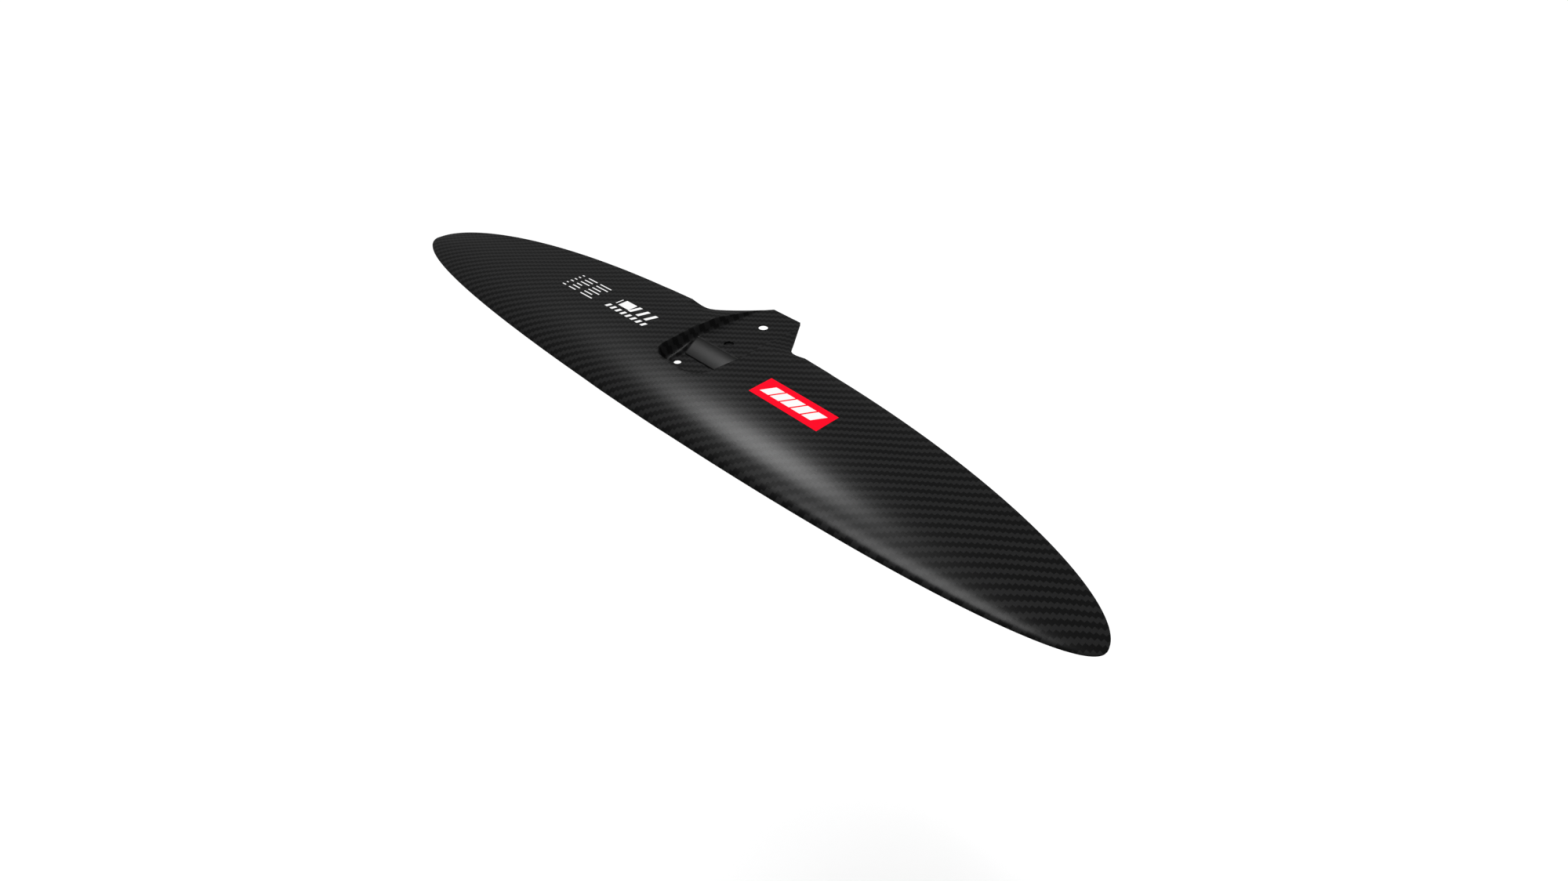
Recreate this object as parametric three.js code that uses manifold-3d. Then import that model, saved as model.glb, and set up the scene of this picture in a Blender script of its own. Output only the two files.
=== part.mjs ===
// A hydrofoil front wing: a moulded carbon wing with a pocket for the fuselage nose and a tail tab.
// Millimetres. X runs along the span, -Y is the leading edge, +Y the tail tab, +Z the pocket side.
// The origin lies on the fuselage seat, midway between the two screw places on the centre line.

import * as THREE from "three";
import { mergeVertices } from "three/addons/utils/BufferGeometryUtils.js";
import Module from "manifold-3d";

const wasm = await Module();
wasm.setup();

// ---------------------------------------------------------------- overall sizes
const span = 670;
const leadDepth = 44.4; // the leading edge stands this far ahead of the line through the tips
const trailDepth = 69.2; // the trailing edge stands this far behind that line
const tipLineY = -69.2;
const outlinePower = 2.09;
const outlineRoot = 1.96;
const tipBlunt = 0.9993; // share of the half span at which the outline is cut, so a tip has a little chord

// ---------------------------------------------------------------- section and attitude
const wingLift = 7.5; // mean surface above the seat at the trailing edge
const pitch = 0.139; // rise of the chord towards the rear, against the seat
const tipDroop = 10.1;
const droopPower = 2.37;
const noseRound = 0.176;
const crownFill = 0.03;
const crownHollow = 0.165;
const bellyHollow = 0.104;
const edgeThickness = 1;

// ---------------------------------------------------------------- tail tab
const tabLength = 42.9; // from the seat's origin to the tab's end
const tabHalf = 13.9;
const tabFlare = 1.46; // length lost for each millimetre that the tab widens
const tabBlend = 7.5; // softness of the corner between tab and trailing edge
const tabReach = 60; // half width at which the tab has faded into the wing
const tabClear = 90; // half width beyond which the rear edge is the wing's own
const tabFadePower = 1.6;
const tabFallPower = 0.8;

// ---------------------------------------------------------------- fuselage pocket
const pocketFrontY = -65.7;
const pocketFrontHalf = 22.5;
const pocketWideY = -24.7;
const pocketWideHalf = 24.7;
const pocketRearY = 34.3;
const pocketRearHalf = 20;
const pocketCorner = 9;
const pocketDraft = 0.43;
const pocketHeadroom = 14;
const ledgeBackY = -26.7;
const ledgeSlope = 0.113;
const padDepth = 4.6;
const padHalf = 18;
const padFrontY = -62;
const padCorner = 7;
const padDraft = 0.7;
const rampFrontY = -44.7;
const rampTopY = -26.7;
const rampTopHalf = 23.5;
const rampPadThickness = 0.6;
const rampPadInset = 1;

// ---------------------------------------------------------------- screw places
const screwSpacing = 35; // between the two on the centre line, half each side of the origin
const screwHoleR = 3.6;
const frontHoleX = 12.7;
const frontHoleY = -55.6;
const frontHoleR = 2.7;
const sinkClearance = 1.5; // how much wider the countersink starts than its hole
const sinkSides = 28;

// ---------------------------------------------------------------- laminate and inner pieces
const gap = 0.3;
const skin = 0.9;
const liner = 0.8;
const sparCap = 1.2;
const hubFlat = 28; // half width over which the underside is level below the pocket
const hubReach = 50;
const hubSoftness = 2;
const shellSplit = 25; // half width of the middle part of the lower shell
const blockHalf = 46;
const coreStop = 45; // how far short of the tip the cores and spar caps end
const trailStop = 120; // how far short of it the spar web and the trailing edge pieces end
const tipStop = 18; // how far short of it the tip filler ends

// ---------------------------------------------------------------- decal
const decalX = [61.2, 122.5];
const decalY = [-55.4, -34.2];
const decalThickness = 0.2;
const markInset = 5.5;

const halfSpan = span / 2;
const coreReach = halfSpan - coreStop;
const trailReach = halfSpan - trailStop;
const tipInner = coreReach + gap;
const tipOuter = halfSpan - tipStop;
const belowPocket = padDepth + liner + gap + skin + hubSoftness;
const splitInner = shellSplit - gap / 2;
const splitOuter = shellSplit + gap / 2;

// Shares of the chord at which every piece has a line of points, and shares of the way on to the tab's end.
const chordLines = [0, 0.01, 0.035, 0.08, 0.15, 0.22, 0.34, 0.46, 0.58, 0.7, 0.8, 0.94];
const rearLines = [0.25, 0.5, 0.75, 1];
const line = { noseFront: 2, noseRear: 3, sparFront: 5, sparRear: 6, coreRear: 9, trailRear: 10, blockRear: 14 };
const lastLine = chordLines.length + rearLines.length - 1;
const rearStart = chordLines[chordLines.length - 1];

// ================================================================ shape of the wing
function clamp01(value) {
  return Math.min(1, Math.max(0, value));
}

function smoothStep(value) {
  const s = clamp01(value);
  return s * s * (3 - 2 * s);
}

function smoothMax(a, b, softness) {
  return (a + b + Math.hypot(a - b, softness)) / 2;
}

function outline(x) {
  const share = (Math.abs(x) / halfSpan) * tipBlunt;
  return (1 - share ** outlinePower) ** (1 / outlineRoot);
}

function leadY(x) {
  return tipLineY - leadDepth * outline(x);
}

function trailY(x) {
  return tipLineY + trailDepth * outline(x);
}

// The rear edge with the tail tab: straight across the end, flared at the sides, blended into the wing.
function rearY(x) {
  const flare = tabLength - tabFlare * Math.max(0, Math.abs(x) - tabHalf);
  const softness = Math.abs(x) > tabHalf ? tabBlend : 0;
  return Math.abs(x) < tabClear ? smoothMax(flare, trailY(x), softness) : trailY(x);
}

function meanZ(x, y) {
  return wingLift + pitch * y - tipDroop * (Math.abs(x) / halfSpan) ** droopPower;
}

function crown(t) {
  return (1 - t) * (noseRound * Math.sqrt(t) + crownFill * t - crownHollow * t ** 3);
}

function belly(t) {
  return (1 - t) * (noseRound * Math.sqrt(t) - bellyHollow * t);
}

function edgeZ(x) {
  const fade = clamp01((Math.abs(x) - tabHalf) / (tabReach - tabHalf)) ** tabFadePower;
  return fade * meanZ(x, trailY(x));
}

function padZ(y) {
  return -padDepth * clamp01((rampTopY - y) / (rampTopY - rampFrontY));
}

// Height of one face of the plain wing, carried on behind it to the end of the tab.
function faceZ(x, y, profile) {
  const lead = leadY(x);
  const chord = trailY(x) - lead;
  const splitY = lead + rearStart * chord;
  if (y <= splitY) {
    return meanZ(x, y) + chord * profile(clamp01((y - lead) / chord));
  }
  const splitZ = meanZ(x, splitY) + chord * profile(rearStart);
  const share = clamp01((y - splitY) / (rearY(x) - splitY));
  return edgeZ(x) + (splitZ - edgeZ(x)) * (1 - share) ** tabFallPower;
}

// Both faces of the moulding at a place, with the parting surface between them.
function faces(x, y) {
  const upper = faceZ(x, y, crown);
  const plain = faceZ(x, y, (t) => -belly(t));
  const hub = padZ(y) - liner - gap - skin;
  const share = 1 - smoothStep((Math.abs(x) - hubFlat) / (hubReach - hubFlat));
  const lowered = -smoothMax(-plain, -hub, hubSoftness);
  const lower = plain + share * Math.min(0, lowered - plain);
  const middle = (upper + lower) / 2;
  const half = Math.max((upper - lower) / 2, edgeThickness / 2);
  return { top: middle + half, bottom: middle - half, middle };
}

function lineY(x, index) {
  const lead = leadY(x);
  const chord = trailY(x) - lead;
  const splitY = lead + rearStart * chord;
  if (index < chordLines.length) {
    return lead + chordLines[index] * chord;
  }
  return splitY + (rearY(x) - splitY) * rearLines[index - chordLines.length];
}

// ================================================================ mesh helpers
function geometryOf(points, triangles) {
  const geometry = new THREE.BufferGeometry();
  geometry.setAttribute("position", new THREE.Float32BufferAttribute(points.flat(), 3));
  geometry.setIndex(triangles.flat());
  return geometry;
}

function solidOf(geometry) {
  const bare = geometry.clone();
  bare.deleteAttribute("normal");
  bare.deleteAttribute("uv");
  const merged = mergeVertices(bare, 1e-5);
  const mesh = new wasm.Mesh({
    numProp: 3,
    vertProperties: new Float32Array(merged.attributes.position.array),
    triVerts: new Uint32Array(merged.index.array),
  });
  return new wasm.Manifold(mesh);
}

function geometryFrom(solid) {
  const mesh = solid.getMesh();
  const geometry = new THREE.BufferGeometry();
  geometry.setAttribute("position", new THREE.Float32BufferAttribute(mesh.vertProperties, 3));
  geometry.setIndex(Array.from(mesh.triVerts));
  return geometry;
}

// A closed body over a grid of places: rows of [x, y, high, low].
function slab(rows) {
  const columns = rows[0].length;
  const points = [];
  for (const row of rows) {
    for (const [x, y, high] of row) {
      points.push([x, y, high]);
    }
  }
  const under = points.length;
  for (const row of rows) {
    for (const [x, y, , low] of row) {
      points.push([x, y, low]);
    }
  }
  const triangles = [];
  const quad = (a, b, c, d) => triangles.push([a, b, c], [a, c, d]);
  for (let i = 0; i + 1 < rows.length; i += 1) {
    for (let j = 0; j + 1 < columns; j += 1) {
      const a = i * columns + j;
      const b = a + columns;
      quad(a, b, b + 1, a + 1);
      quad(under + a, under + a + 1, under + b + 1, under + b);
    }
    const front = i * columns;
    const rear = front + columns - 1;
    quad(under + front, under + front + columns, front + columns, front);
    quad(rear, rear + columns, under + rear + columns, under + rear);
  }
  for (let j = 0; j + 1 < columns; j += 1) {
    const end = (rows.length - 1) * columns + j;
    quad(j, j + 1, under + j + 1, under + j);
    quad(end + 1, end, under + end, under + end + 1);
  }
  return geometryOf(points, triangles);
}

// A closed body through outlines of equal length, each a list of [x, y, z] seen anticlockwise from above.
function stack(outlines) {
  const count = outlines[0].length;
  const points = outlines.flat();
  const triangles = [];
  for (let level = 0; level + 1 < outlines.length; level += 1) {
    for (let i = 0; i < count; i += 1) {
      const a = level * count + i;
      const b = level * count + ((i + 1) % count);
      triangles.push([a, b, b + count], [a, b + count, a + count]);
    }
  }
  const flat = outlines[0].map(([x, y]) => new THREE.Vector2(x, y));
  for (const [a, b, c] of THREE.ShapeUtils.triangulateShape(flat, [])) {
    const lift = (outlines.length - 1) * count;
    triangles.push([c, b, a], [lift + a, lift + b, lift + c]);
  }
  return geometryOf(points, triangles);
}

// Stations along the span: even across the tab's end, then close together at its side and at the tip.
function stations(from, to) {
  const steps = 26;
  const half = [0, tabHalf / 2, tabHalf];
  for (let i = 1; i <= steps; i += 1) {
    half.push(tabHalf + ((halfSpan - tabHalf) * (1 - Math.cos((Math.PI * i) / steps))) / 2);
  }
  const all = [...half.slice(1).map((x) => -x).reverse(), ...half];
  const spare = 1.5; // a station closer than this to a piece's end would leave a sliver
  return [from, ...all.filter((x) => x > from + spare && x < to - spare), to];
}

// ================================================================ laminate pieces
const topHalf = (place) => ({ high: place.top, low: Math.max(place.top - skin, place.middle + gap / 2) });
const bottomHalf = (place) => ({ high: Math.min(place.bottom + skin, place.middle - gap / 2), low: place.bottom });

// A skin closes against the other one at its edges, along the parting surface.
function skinGeometry(isTop) {
  const xs = stations(-halfSpan, halfSpan);
  const rows = xs.map((x, i) => {
    const row = [];
    for (let j = 0; j <= lastLine; j += 1) {
      const y = lineY(x, j);
      const place = faces(x, y);
      const { high, low } = isTop ? topHalf(place) : bottomHalf(place);
      const atEdge = i === 0 || i === xs.length - 1 || j === 0 || j === lastLine;
      const closedLow = atEdge && isTop ? place.middle + gap / 2 : low;
      const closedHigh = atEdge && !isTop ? place.middle - gap / 2 : high;
      row.push([x, y, closedHigh, closedLow]);
    }
    return row;
  });
  return slab(rows);
}

function wholeSolid() {
  const rows = stations(-halfSpan, halfSpan).map((x) => {
    const row = [];
    for (let j = 0; j <= lastLine; j += 1) {
      const y = lineY(x, j);
      const place = faces(x, y);
      row.push([x, y, place.top, place.bottom]);
    }
    return row;
  });
  return solidOf(slab(rows));
}

// Room between the skins, from one chord line to another.
function innerGeometry(fromX, toX, firstLine, endLine, layer = (high, low) => [high, low]) {
  const rows = stations(fromX, toX).map((x) => {
    const row = [];
    for (let j = firstLine; j <= endLine; j += 1) {
      const y = lineY(x, j);
      const place = faces(x, y);
      const shift = (j === firstLine ? gap / 2 : 0) - (j === endLine ? gap / 2 : 0);
      const [high, low] = layer(place.top - skin - gap, place.bottom + skin + gap);
      row.push([x, y + shift, high, low]);
    }
    return row;
  });
  return slab(rows);
}

// ================================================================ pocket
function pocketOutline(widths, frontY, corner, z) {
  const points = [];
  const side = widths.slice(1);
  for (const [half, y] of [...side].reverse()) {
    points.push([half, y, z(y)]);
  }
  const turns = 5;
  const [frontHalf] = widths[0];
  const ring = [];
  for (let i = 0; i <= turns; i += 1) {
    const angle = ((Math.PI / 2) * i) / turns;
    const x = frontHalf - corner + corner * Math.cos(angle);
    const y = frontY + corner - corner * Math.sin(angle);
    ring.push([x, y, z(y)]);
  }
  points.push(...ring);
  const mirrored = points.map(([x, y, height]) => [-x, y, height]).reverse();
  return [...points, ...mirrored].reverse();
}

// The space that the fuselage nose takes, made larger all round by grow, and carried straight down by depth.
function pocketSpace(grow, depth = 0) {
  const beyond = tabLength + pocketHeadroom;
  const rearSlope = (pocketWideHalf - pocketRearHalf) / (pocketRearY - pocketWideY);
  const beyondHalf = pocketRearHalf - rearSlope * (beyond - pocketRearY);
  const bodyRing = (out, z) =>
    pocketOutline(
      [
        [pocketFrontHalf + out, pocketFrontY],
        [pocketWideHalf + out, pocketWideY],
        [beyondHalf + out, beyond],
      ],
      pocketFrontY - out,
      pocketCorner + out,
      () => z,
    );
  const bodyTop = bodyRing(grow + pocketDraft * pocketHeadroom, pocketHeadroom - grow);
  const body = stack([...(depth > 0 ? [bodyRing(grow, -grow - depth)] : []), bodyRing(grow, -grow), bodyTop]);

  const ledgeZ = (y) => -ledgeSlope * (ledgeBackY - y);
  const ledgeRing = (lift, z) => {
    const depth = (y) => lift - z(y);
    const frontDepth = depth(pocketFrontY);
    const backDepth = depth(ledgeBackY);
    return pocketOutline(
      [
        [pocketFrontHalf + grow - pocketDraft * frontDepth, pocketFrontY],
        [pocketWideHalf + grow - pocketDraft * backDepth, ledgeBackY],
      ],
      pocketFrontY - grow + pocketDraft * frontDepth,
      pocketCorner,
      (y) => z(y) - grow,
    );
  };
  const ledge = stack([ledgeRing(0, ledgeZ), ledgeRing(1, () => 1)]);

  const padRing = (out, z) =>
    pocketOutline(
      [
        [padHalf + grow + out, padFrontY],
        [padHalf + grow + out, rampFrontY],
      ],
      padFrontY - grow - out,
      padCorner,
      () => z,
    );
  const pad = stack([padRing(0, -padDepth - grow), padRing(padDraft * padDepth, 0)]);

  const ramp = stack([
    [
      [-padHalf - grow, rampFrontY, -padDepth - grow],
      [padHalf + grow, rampFrontY, -padDepth - grow],
      [rampTopHalf + grow, rampTopY, -grow],
      [-rampTopHalf - grow, rampTopY, -grow],
    ],
    [
      [-padHalf - grow - padDraft * padDepth, rampFrontY, 1],
      [padHalf + grow + padDraft * padDepth, rampFrontY, 1],
      [rampTopHalf + grow, rampTopY, 1],
      [-rampTopHalf - grow, rampTopY, 1],
    ],
  ]);
  return solidOf(body).add(solidOf(ledge)).add(solidOf(pad)).add(solidOf(ramp));
}

// A round cutter standing on its low end, with its own radius at each end.
function cutter(x, y, low, high, lowR, highR) {
  const geometry = new THREE.CylinderGeometry(highR, lowR, high - low, sinkSides);
  geometry.rotateX(Math.PI / 2);
  geometry.translate(x, y, (low + high) / 2);
  return solidOf(geometry);
}

const screwPlaces = [
  { x: 0, y: screwSpacing / 2, seat: 0, r: screwHoleR, through: true },
  { x: 0, y: -screwSpacing / 2, seat: 0, r: screwHoleR, through: false },
  { x: -frontHoleX, y: frontHoleY, seat: -padDepth, r: frontHoleR, through: true },
  { x: frontHoleX, y: frontHoleY, seat: -padDepth, r: frontHoleR, through: true },
];

function pocketLiner() {
  let solid = pocketSpace(liner).subtract(pocketSpace(0)).intersect(wholeSolid());
  for (const { x, y, seat, r } of screwPlaces) {
    solid = solid.subtract(cutter(x, y, seat - 2 * liner, seat + 1, r, r));
  }
  return geometryFrom(solid);
}

// The part of the lower shell beyond (1) or short of (-1) each given place along the span.
function bottomSkin(limits) {
  let solid = solidOf(skinGeometry(false)).subtract(pocketSpace(liner + gap));
  for (const { x, y, seat, r, through } of screwPlaces) {
    if (through) {
      const sinkTop = seat - liner - gap / 2;
      const sinkDepth = gap + 2 * skin;
      const startR = r + sinkClearance;
      solid = solid.subtract(cutter(x, y, sinkTop - sinkDepth, sinkTop, startR + sinkDepth, startR));
    }
  }
  for (const [direction, x] of limits) {
    solid = solid.trimByPlane([direction, 0, 0], direction * x);
  }
  return geometryFrom(solid);
}

// Nothing of the upper skin is left under the liner, however thick the skin is.
function topSkin() {
  return geometryFrom(solidOf(skinGeometry(true)).subtract(pocketSpace(liner + gap, belowPocket)));
}

// It stands round the pocket, and no film of it is left below, where it would close the screw holes.
function rootBlock() {
  const around = solidOf(innerGeometry(-blockHalf, blockHalf, line.sparRear, line.blockRear));
  return geometryFrom(around.subtract(pocketSpace(liner + gap, belowPocket)));
}

// The smooth pad on the pocket's ramp, lying a gap above the liner and ending level with the seat.
function rampPad() {
  const slope = padDepth / (rampTopY - rampFrontY);
  const widening = (rampTopHalf - padHalf) / (rampTopY - rampFrontY);
  const endY = rampTopY - (gap + rampPadThickness) / slope;
  const rows = [-1, 1].map((side) =>
    [rampFrontY, endY].map((y) => {
      const half = padHalf + widening * (y - rampFrontY) - rampPadInset;
      const z = gap - slope * (rampTopY - y);
      return [side * half, y, z + rampPadThickness, z];
    }),
  );
  return slab(rows);
}

// ================================================================ decal
function film(xs, ys, lift) {
  const across = 6;
  const along = 4;
  const rows = [];
  for (let i = 0; i <= across; i += 1) {
    const x = xs[0] + ((xs[1] - xs[0]) * i) / across;
    const row = [];
    for (let j = 0; j <= along; j += 1) {
      const [start, end] = ys(i / across);
      const y = start + ((end - start) * j) / along;
      const z = faces(x, y).top + lift;
      row.push([x, y, z + decalThickness, z]);
    }
    rows.push(row);
  }
  return slab(rows);
}

// A plain slanted bar stands for the printed mark.
function markLimits(share) {
  const low = decalY[0] + markInset;
  const high = decalY[1] - markInset;
  const slant = (high - low) * 0.25 * (share - 0.5);
  return [low + slant, high + slant];
}

// ================================================================ the assembly
const materials = {
  twill: new THREE.MeshStandardMaterial({ color: 0x222224, roughness: 0.32, metalness: 0.1 }),
  laminate: new THREE.MeshStandardMaterial({ color: 0x18181a, roughness: 0.5, metalness: 0.05 }),
  smooth: new THREE.MeshStandardMaterial({ color: 0x4a4a4c, roughness: 0.3, metalness: 0 }),
  foam: new THREE.MeshStandardMaterial({ color: 0xe8dcb8, roughness: 0.9, metalness: 0 }),
  filler: new THREE.MeshStandardMaterial({ color: 0x2b2d30, roughness: 0.6, metalness: 0 }),
  red: new THREE.MeshStandardMaterial({ color: 0xff0023, roughness: 0.35, metalness: 0 }),
  white: new THREE.MeshStandardMaterial({ color: 0xf4f4f4, roughness: 0.4, metalness: 0 }),
};

const wing = new THREE.Group();

function place(name, geometry, material) {
  const mesh = new THREE.Mesh(geometry, material);
  mesh.name = name;
  wing.add(mesh);
}

place("top_skin", topSkin(), materials.twill);
place("bottom_skin_left", bottomSkin([[-1, -splitOuter]]), materials.twill);
const middleLimits = [
  [1, -splitInner],
  [-1, splitInner],
];
place("bottom_skin_middle", bottomSkin(middleLimits), materials.twill);
place("bottom_skin_right", bottomSkin([[1, splitOuter]]), materials.twill);
place("pocket_liner", pocketLiner(), materials.twill);
place("ramp_pad", rampPad(), materials.smooth);
place("root_block", rootBlock(), materials.laminate);

const topCap = (high) => [high, high - sparCap];
const bottomCap = (high, low) => [low + sparCap, low];
const between = (high, low) => [high - sparCap - gap, low + sparCap + gap];
const { sparFront, sparRear } = line;
place("spar_cap_top", innerGeometry(-coreReach, coreReach, sparFront, sparRear, topCap), materials.laminate);
place("spar_cap_bottom", innerGeometry(-coreReach, coreReach, sparFront, sparRear, bottomCap), materials.laminate);
place("spar_web", innerGeometry(-trailReach, trailReach, sparFront, sparRear, between), materials.laminate);

for (const [side, name] of [
  [-1, "left"],
  [1, "right"],
]) {
  const across = (inner, outer) => (side < 0 ? [-outer, -inner] : [inner, outer]);
  const fromCentre = across(gap / 2, coreReach);
  const fromBlock = across(blockHalf + gap, coreReach);
  const { noseFront, noseRear, coreRear, trailRear } = line;
  place(`leading_edge_${name}`, innerGeometry(...fromCentre, noseFront, noseRear), materials.laminate);
  place(`front_core_${name}`, innerGeometry(...fromCentre, noseRear, sparFront), materials.foam);
  place(`rear_core_${name}`, innerGeometry(...fromBlock, sparRear, coreRear), materials.foam);
  const trail = across(blockHalf + gap, trailReach);
  place(`trailing_edge_${name}`, innerGeometry(...trail, coreRear, trailRear), materials.laminate);
  place(`tip_filler_${name}`, innerGeometry(...across(tipInner, tipOuter), noseRear, sparRear + 1), materials.filler);
}

const markX = [decalX[0] + markInset, decalX[1] - markInset];
place("decal_panel", film(decalX, () => decalY, gap), materials.red);
place("decal_mark", film(markX, markLimits, 2 * gap + decalThickness), materials.white);

export default wing;
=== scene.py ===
"""The looks of a hydrofoil front wing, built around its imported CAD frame.

Metres. X runs along the span, -Y is the leading edge, +Y the tail tab, +Z the pocket side.
"""

import math

import bpy
import numpy as np
from bpy.props import FloatProperty, FloatVectorProperty, IntProperty, PointerProperty
from mathutils import Matrix, Vector


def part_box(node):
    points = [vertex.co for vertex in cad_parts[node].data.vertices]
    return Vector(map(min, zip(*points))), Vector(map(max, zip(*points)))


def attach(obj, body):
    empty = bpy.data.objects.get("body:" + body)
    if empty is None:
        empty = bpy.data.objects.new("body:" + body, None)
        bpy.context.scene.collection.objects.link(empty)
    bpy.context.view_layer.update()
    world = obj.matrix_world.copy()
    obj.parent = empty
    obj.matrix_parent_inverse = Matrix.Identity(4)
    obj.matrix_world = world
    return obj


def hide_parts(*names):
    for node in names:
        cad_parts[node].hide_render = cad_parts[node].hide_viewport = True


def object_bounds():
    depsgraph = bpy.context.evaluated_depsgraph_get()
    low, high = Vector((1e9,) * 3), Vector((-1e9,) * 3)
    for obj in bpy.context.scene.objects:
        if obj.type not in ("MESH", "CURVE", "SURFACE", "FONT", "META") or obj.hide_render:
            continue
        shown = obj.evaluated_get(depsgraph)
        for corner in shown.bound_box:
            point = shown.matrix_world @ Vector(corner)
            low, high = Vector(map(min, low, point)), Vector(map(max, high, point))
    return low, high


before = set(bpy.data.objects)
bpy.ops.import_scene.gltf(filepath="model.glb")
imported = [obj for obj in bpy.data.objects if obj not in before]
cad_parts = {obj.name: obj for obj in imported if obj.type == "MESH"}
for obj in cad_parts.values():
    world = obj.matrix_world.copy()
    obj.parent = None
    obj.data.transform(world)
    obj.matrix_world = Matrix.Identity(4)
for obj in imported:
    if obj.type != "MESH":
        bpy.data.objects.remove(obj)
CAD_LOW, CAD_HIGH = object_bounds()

bl_info = {
    "name": "Hydrofoil Front Wing",
    "version": (1, 0, 0),
    "blender": (4, 5, 0),
    "location": "View3D > Sidebar > Wing",
    "description": "Builds the shells, pocket, printed films and finishes of a hydrofoil front wing",
    "category": "Add Mesh",
}

MM = 0.001
SKIN_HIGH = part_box("top_skin")[1]
FILM_LOW, FILM_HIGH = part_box("decal_panel")
LINER_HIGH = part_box("pocket_liner")[1]

# Lights: direction towards the source, width in degrees, strength.
KEY_LIGHT = (-0.518, 0.250, 0.818), 14, 1.28
TOP_LIGHT = (-0.197, -0.197, 0.960), 26, 1.95
WORLD_STRENGTH = 0.22

# Camera: place in millimetres, angles in degrees, lens and sensor in millimetres.
CAMERA_PLACE = (427.3, -400.0, 340.6)
CAMERA_AZIMUTH, CAMERA_ELEVATION, CAMERA_ROLL = 43.979, 36.761, -1.376
CAMERA_LENS, CAMERA_SENSOR = 20.874, 36.0
CAMERA_CLIP = (0.01, 60)

# Floor: half width and distance below the wing, in metres.
FLOOR_HALF, FLOOR_DROP = 20.0, 1.0

# Fine bars in each row: (start in millimetres, share of the drawn length).
FINE_BARS_FRONT = -54.6 * MM
FINE_BARS = ((-155.5, 0.28), (-147, 0.78), (-131.5, 1.0))

# Bold bars, in millimetres: (how many, start, pitch, width, front, rear).
BOLD_BARS = (
    (8, -100, 6.1, 2.9, -53.6, -49.2),
    (3, -79.5, 9.3, 3.4, -46.6, -37.0),
    (1, -93.5, 0, 12.5, -46.0, -37.4),
    (1, -97.4, 0, 1.0, -45.5, -38.5),
)
BOLD_SLANT = 0.3


# ================================================================ sizes and colours
def length(name, default, description):
    return FloatProperty(name=name, description=description, default=default, unit="LENGTH", precision=5)


def plain(name, default, description):
    return FloatProperty(name=name, description=description, default=default, precision=4)


def colour(name, default, description):
    return FloatVectorProperty(
        name=name, description=description, default=default, subtype="COLOR", size=3, min=0, max=1
    )


class WingOutline(bpy.types.PropertyGroup):
    """Plan and section of the wing."""

    half_span: length("Half Span", SKIN_HIGH.x, "Middle plane to tip")
    tip_line: length("Tip Line", -69.2 * MM, "Where the line through the tips lies")
    lead_depth: length("Lead Depth", 44.4 * MM, "Leading edge ahead of the tip line")
    trail_depth: length("Trail Depth", 69.2 * MM, "Trailing edge behind the tip line")
    plan_power: plain("Plan Power", 2.09, "Power of the span in the outline")
    plan_root: plain("Plan Root", 1.96, "Root taken of the outline")
    tip_blunt: plain("Tip Blunt", 0.9999, "Share of the half span where the outline is cut")
    lift: length("Lift", 7.5 * MM, "Mean surface above the seat at the trailing edge")
    pitch: plain("Pitch", 0.139, "Rise of the chord towards the rear")
    droop: length("Tip Droop", 10.1 * MM, "Fall of the tips")
    droop_power: plain("Droop Power", 2.37, "Power of the span in the droop")
    nose_round: plain("Nose Round", 0.176, "Roundness of the nose")
    crown_fill: plain("Crown Fill", 0.03, "Fullness behind the nose on the upper side")
    crown_hollow: plain("Crown Hollow", 0.165, "Hollow ahead of the trailing edge on the upper side")
    belly_hollow: plain("Belly Hollow", 0.104, "Hollow of the underside")
    edge: length("Edge", 1.0 * MM, "Thickness of the trailing edge")
    nose_edge: length("Nose Edge", 0.3 * MM, "Thickness where the shells meet in the nose")
    skin: length("Skin", 0.9 * MM, "Thickness of a shell")
    seam: length("Seam", 0.1 * MM, "Fine joint between the shells")


class WingTab(bpy.types.PropertyGroup):
    """Tail tab behind the wing."""

    end: length("End", LINER_HIGH.y, "Origin to the end of the tab")
    half: length("Half Width", 13.9 * MM, "Half width of the straight end")
    flare: plain("Flare", 1.46, "Length lost for each unit that the tab widens")
    blend: length("Blend", 7.5 * MM, "Softness of the corner between tab and trailing edge")
    reach: length("Reach", 60 * MM, "Half width where the tab has faded")
    clear: length("Clear", 90 * MM, "Half width beyond which the rear edge is the wing's own")
    fade: plain("Fade", 1.6, "Power of the fade along the span")
    fall: plain("Fall", 0.8, "Power of the fall towards the end")
    split: plain("Split", 0.94, "Share of the chord where the tab begins")


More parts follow.
